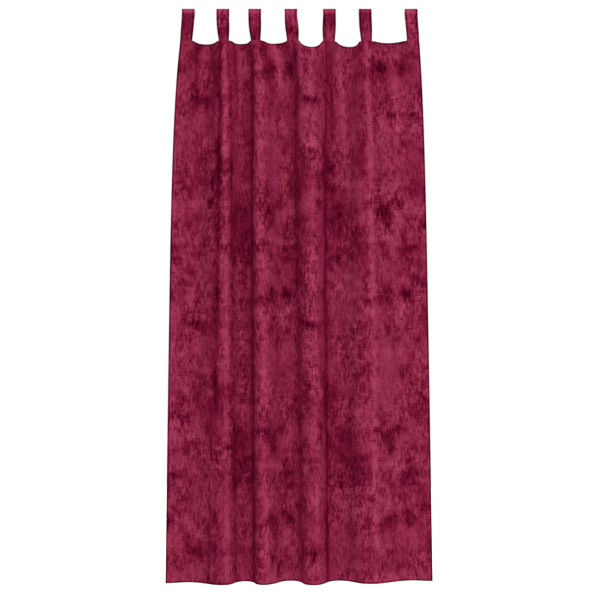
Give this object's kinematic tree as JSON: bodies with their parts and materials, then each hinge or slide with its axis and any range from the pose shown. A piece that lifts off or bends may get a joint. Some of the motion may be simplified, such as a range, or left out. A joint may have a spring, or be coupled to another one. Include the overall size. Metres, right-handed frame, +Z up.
{
  "type": "tab-top velvet curtain",
  "caption": "Hanging velvet curtain panel with loop tabs along its top, gathered into soft uneven folds that run down to a wavy hem.",
  "frame": {"origin": "on the axis of the rod that carries the curtain, at the middle tab", "axes": "+X along the rod to the right seen from the front, -Y to the front, +Z up"},
  "size_m": [1.142, 0.1406, 2.4468],
  "materials": {
    "velvet": "crushed velvet, mottled, matt with a soft sheen at grazing angles"
  },
  "bodies": {
    "root": {"panel": "velvet", "heading": "velvet", "tab_1": "velvet", "tab_2": "velvet", "tab_3": "velvet", "tab_4": "velvet", "tab_5": "velvet", "tab_6": "velvet", "tab_7": "velvet"}
  },
  "joints": []
}
